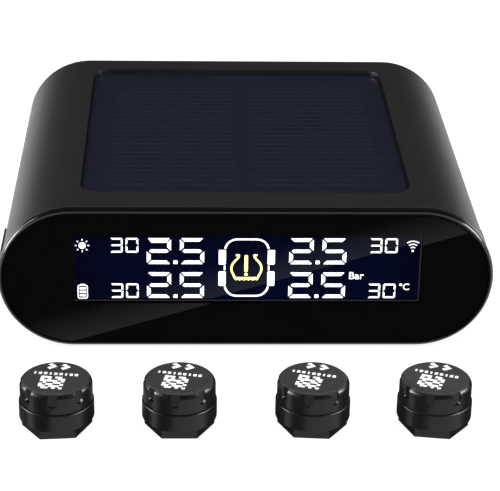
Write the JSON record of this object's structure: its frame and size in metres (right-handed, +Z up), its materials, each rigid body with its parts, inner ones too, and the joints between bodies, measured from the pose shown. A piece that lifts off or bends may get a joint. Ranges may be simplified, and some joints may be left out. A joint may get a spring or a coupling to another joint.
{
  "type": "tire pressure monitor",
  "caption": "Solar-powered tire pressure display in a rounded black sleeve housing, with side buttons, a rear charging socket and screw-cap valve sensors standing in front.",
  "frame": {"origin": "centre of the underside of the non-slip pad, on the table", "axes": "+Z up, -Y towards the viewer out of the display window, +X to the right seen from the front"},
  "size_m": [0.121, 0.1528, 0.0371],
  "materials": {
    "housing_black": "satin",
    "bezel_black": "polished",
    "window_glass": "polished, black printed border",
    "lcd_navy": "polished",
    "light_guide": "clear",
    "inner_plastic": "moulded",
    "amber_film": "smooth",
    "panel_glass": "polished",
    "cell_navy": "smooth with fine finger lines",
    "board_green": "solder mask",
    "chip_black": "moulded",
    "nickel": "plated",
    "screw_steel": "blackened",
    "white_tape": "foam tape",
    "battery_wrap": "foil pouch",
    "lead_red": "insulation",
    "lead_black": "insulation",
    "black_rubber": "matt",
    "button_black": "satin",
    "sensor_plastic": "fine texture",
    "brass_insert": "turned",
    "cell_steel": "nickel plated"
  },
  "bodies": {
    "display": {"antenna": "nickel", "battery": "battery_wrap", "battery_leads": "lead_red", "battery_pad": "white_tape", "board_components": "chip_black", "board_screws": "screw_steel", "buzzer": "chip_black", "display_window": "window_glass", "front_bezel": "bezel_black", "inner_tray": "inner_plastic", "lcd_backlight": "light_guide", "lcd_holder": "inner_plastic", "lcd_panel": "lcd_navy", "lcd_ribbon": "amber_film", "left_switch": "chip_black", "main_board": "board_green", "main_housing": "housing_black", "non_slip_pad": "black_rubber", "rear_cover": "housing_black", "rear_cover_screws": "screw_steel", "right_switch": "chip_black", "solar_cells": "cell_navy", "solar_gasket": "black_rubber", "solar_glass": "panel_glass", "solar_leads": "lead_black", "usb_socket": "nickel"},
    "left_button": {"left_button": "button_black", "left_switch_plunger": "button_black"},
    "right_button": {"right_button": "button_black", "right_switch_plunger": "button_black"},
    "sensor_1_base": {"sensor_1_base": "sensor_plastic", "sensor_1_valve_insert": "brass_insert", "sensor_1_valve_gasket": "black_rubber", "sensor_1_board": "board_green", "sensor_1_cell": "cell_steel"},
    "sensor_1_seal": {"sensor_1_seal": "black_rubber"},
    "sensor_1_cap": {"sensor_1_cap": "sensor_plastic"},
    "sensor_2_base": {"sensor_2_base": "sensor_plastic", "sensor_2_valve_insert": "brass_insert", "sensor_2_valve_gasket": "black_rubber", "sensor_2_board": "board_green", "sensor_2_cell": "cell_steel"},
    "sensor_2_seal": {"sensor_2_seal": "black_rubber"},
    "sensor_2_cap": {"sensor_2_cap": "sensor_plastic"},
    "sensor_3_base": {"sensor_3_base": "sensor_plastic", "sensor_3_valve_insert": "brass_insert", "sensor_3_valve_gasket": "black_rubber", "sensor_3_board": "board_green", "sensor_3_cell": "cell_steel"},
    "sensor_3_seal": {"sensor_3_seal": "black_rubber"},
    "sensor_3_cap": {"sensor_3_cap": "sensor_plastic"},
    "sensor_4_base": {"sensor_4_base": "sensor_plastic", "sensor_4_valve_insert": "brass_insert", "sensor_4_valve_gasket": "black_rubber", "sensor_4_board": "board_green", "sensor_4_cell": "cell_steel"},
    "sensor_4_seal": {"sensor_4_seal": "black_rubber"},
    "sensor_4_cap": {"sensor_4_cap": "sensor_plastic"}
  },
  "joints": [
    {"name": "left_button_press", "type": "slide", "parent": "display", "child": "left_button", "axis": [1, 0, 0], "range_m": [0, 0.0004], "stiffness_N_per_m": 1200, "springref_m": -0.0005},
    {"name": "right_button_press", "type": "slide", "parent": "display", "child": "right_button", "axis": [-1, 0, 0], "range_m": [0, 0.0004], "stiffness_N_per_m": 1200, "springref_m": -0.0005},
    {"name": "sensor_1_lift", "type": "slide", "parent": "display", "child": "sensor_1_base", "axis": [0, 0, 1], "range_m": [0, 0.1]},
    {"name": "sensor_1_cap_rise", "type": "slide", "parent": "sensor_1_base", "child": "sensor_1_seal", "axis": [0, 0, 1], "range_m": [0, 0.0025]},
    {"name": "sensor_1_cap_turn", "type": "hinge", "parent": "sensor_1_seal", "child": "sensor_1_cap", "pos_m": [-0.0441, -0.0903, 0.009], "axis": [0, 0, 1], "range_deg": [0, 720]},
    {"name": "sensor_2_lift", "type": "slide", "parent": "display", "child": "sensor_2_base", "axis": [0, 0, 1], "range_m": [0, 0.1]},
    {"name": "sensor_2_cap_rise", "type": "slide", "parent": "sensor_2_base", "child": "sensor_2_seal", "axis": [0, 0, 1], "range_m": [0, 0.0025]},
    {"name": "sensor_2_cap_turn", "type": "hinge", "parent": "sensor_2_seal", "child": "sensor_2_cap", "pos_m": [-0.0162, -0.0903, 0.009], "axis": [0, 0, 1], "range_deg": [0, 720]},
    {"name": "sensor_3_lift", "type": "slide", "parent": "display", "child": "sensor_3_base", "axis": [0, 0, 1], "range_m": [0, 0.1]},
    {"name": "sensor_3_cap_rise", "type": "slide", "parent": "sensor_3_base", "child": "sensor_3_seal", "axis": [0, 0, 1], "range_m": [0, 0.0025]},
    {"name": "sensor_3_cap_turn", "type": "hinge", "parent": "sensor_3_seal", "child": "sensor_3_cap", "pos_m": [0.0142, -0.0903, 0.009], "axis": [0, 0, 1], "range_deg": [0, 720]},
    {"name": "sensor_4_lift", "type": "slide", "parent": "display", "child": "sensor_4_base", "axis": [0, 0, 1], "range_m": [0, 0.1]},
    {"name": "sensor_4_cap_rise", "type": "slide", "parent": "sensor_4_base", "child": "sensor_4_seal", "axis": [0, 0, 1], "range_m": [0, 0.0025]},
    {"name": "sensor_4_cap_turn", "type": "hinge", "parent": "sensor_4_seal", "child": "sensor_4_cap", "pos_m": [0.0421, -0.0903, 0.009], "axis": [0, 0, 1], "range_deg": [0, 720]}
  ],
  "couplings": [
    {"joint": "sensor_1_cap_turn", "follows": "sensor_1_cap_rise", "rad_per_m": 5026.5},
    {"joint": "sensor_2_cap_turn", "follows": "sensor_2_cap_rise", "rad_per_m": 5026.5},
    {"joint": "sensor_3_cap_turn", "follows": "sensor_3_cap_rise", "rad_per_m": 5026.5},
    {"joint": "sensor_4_cap_turn", "follows": "sensor_4_cap_rise", "rad_per_m": 5026.5}
  ]
}
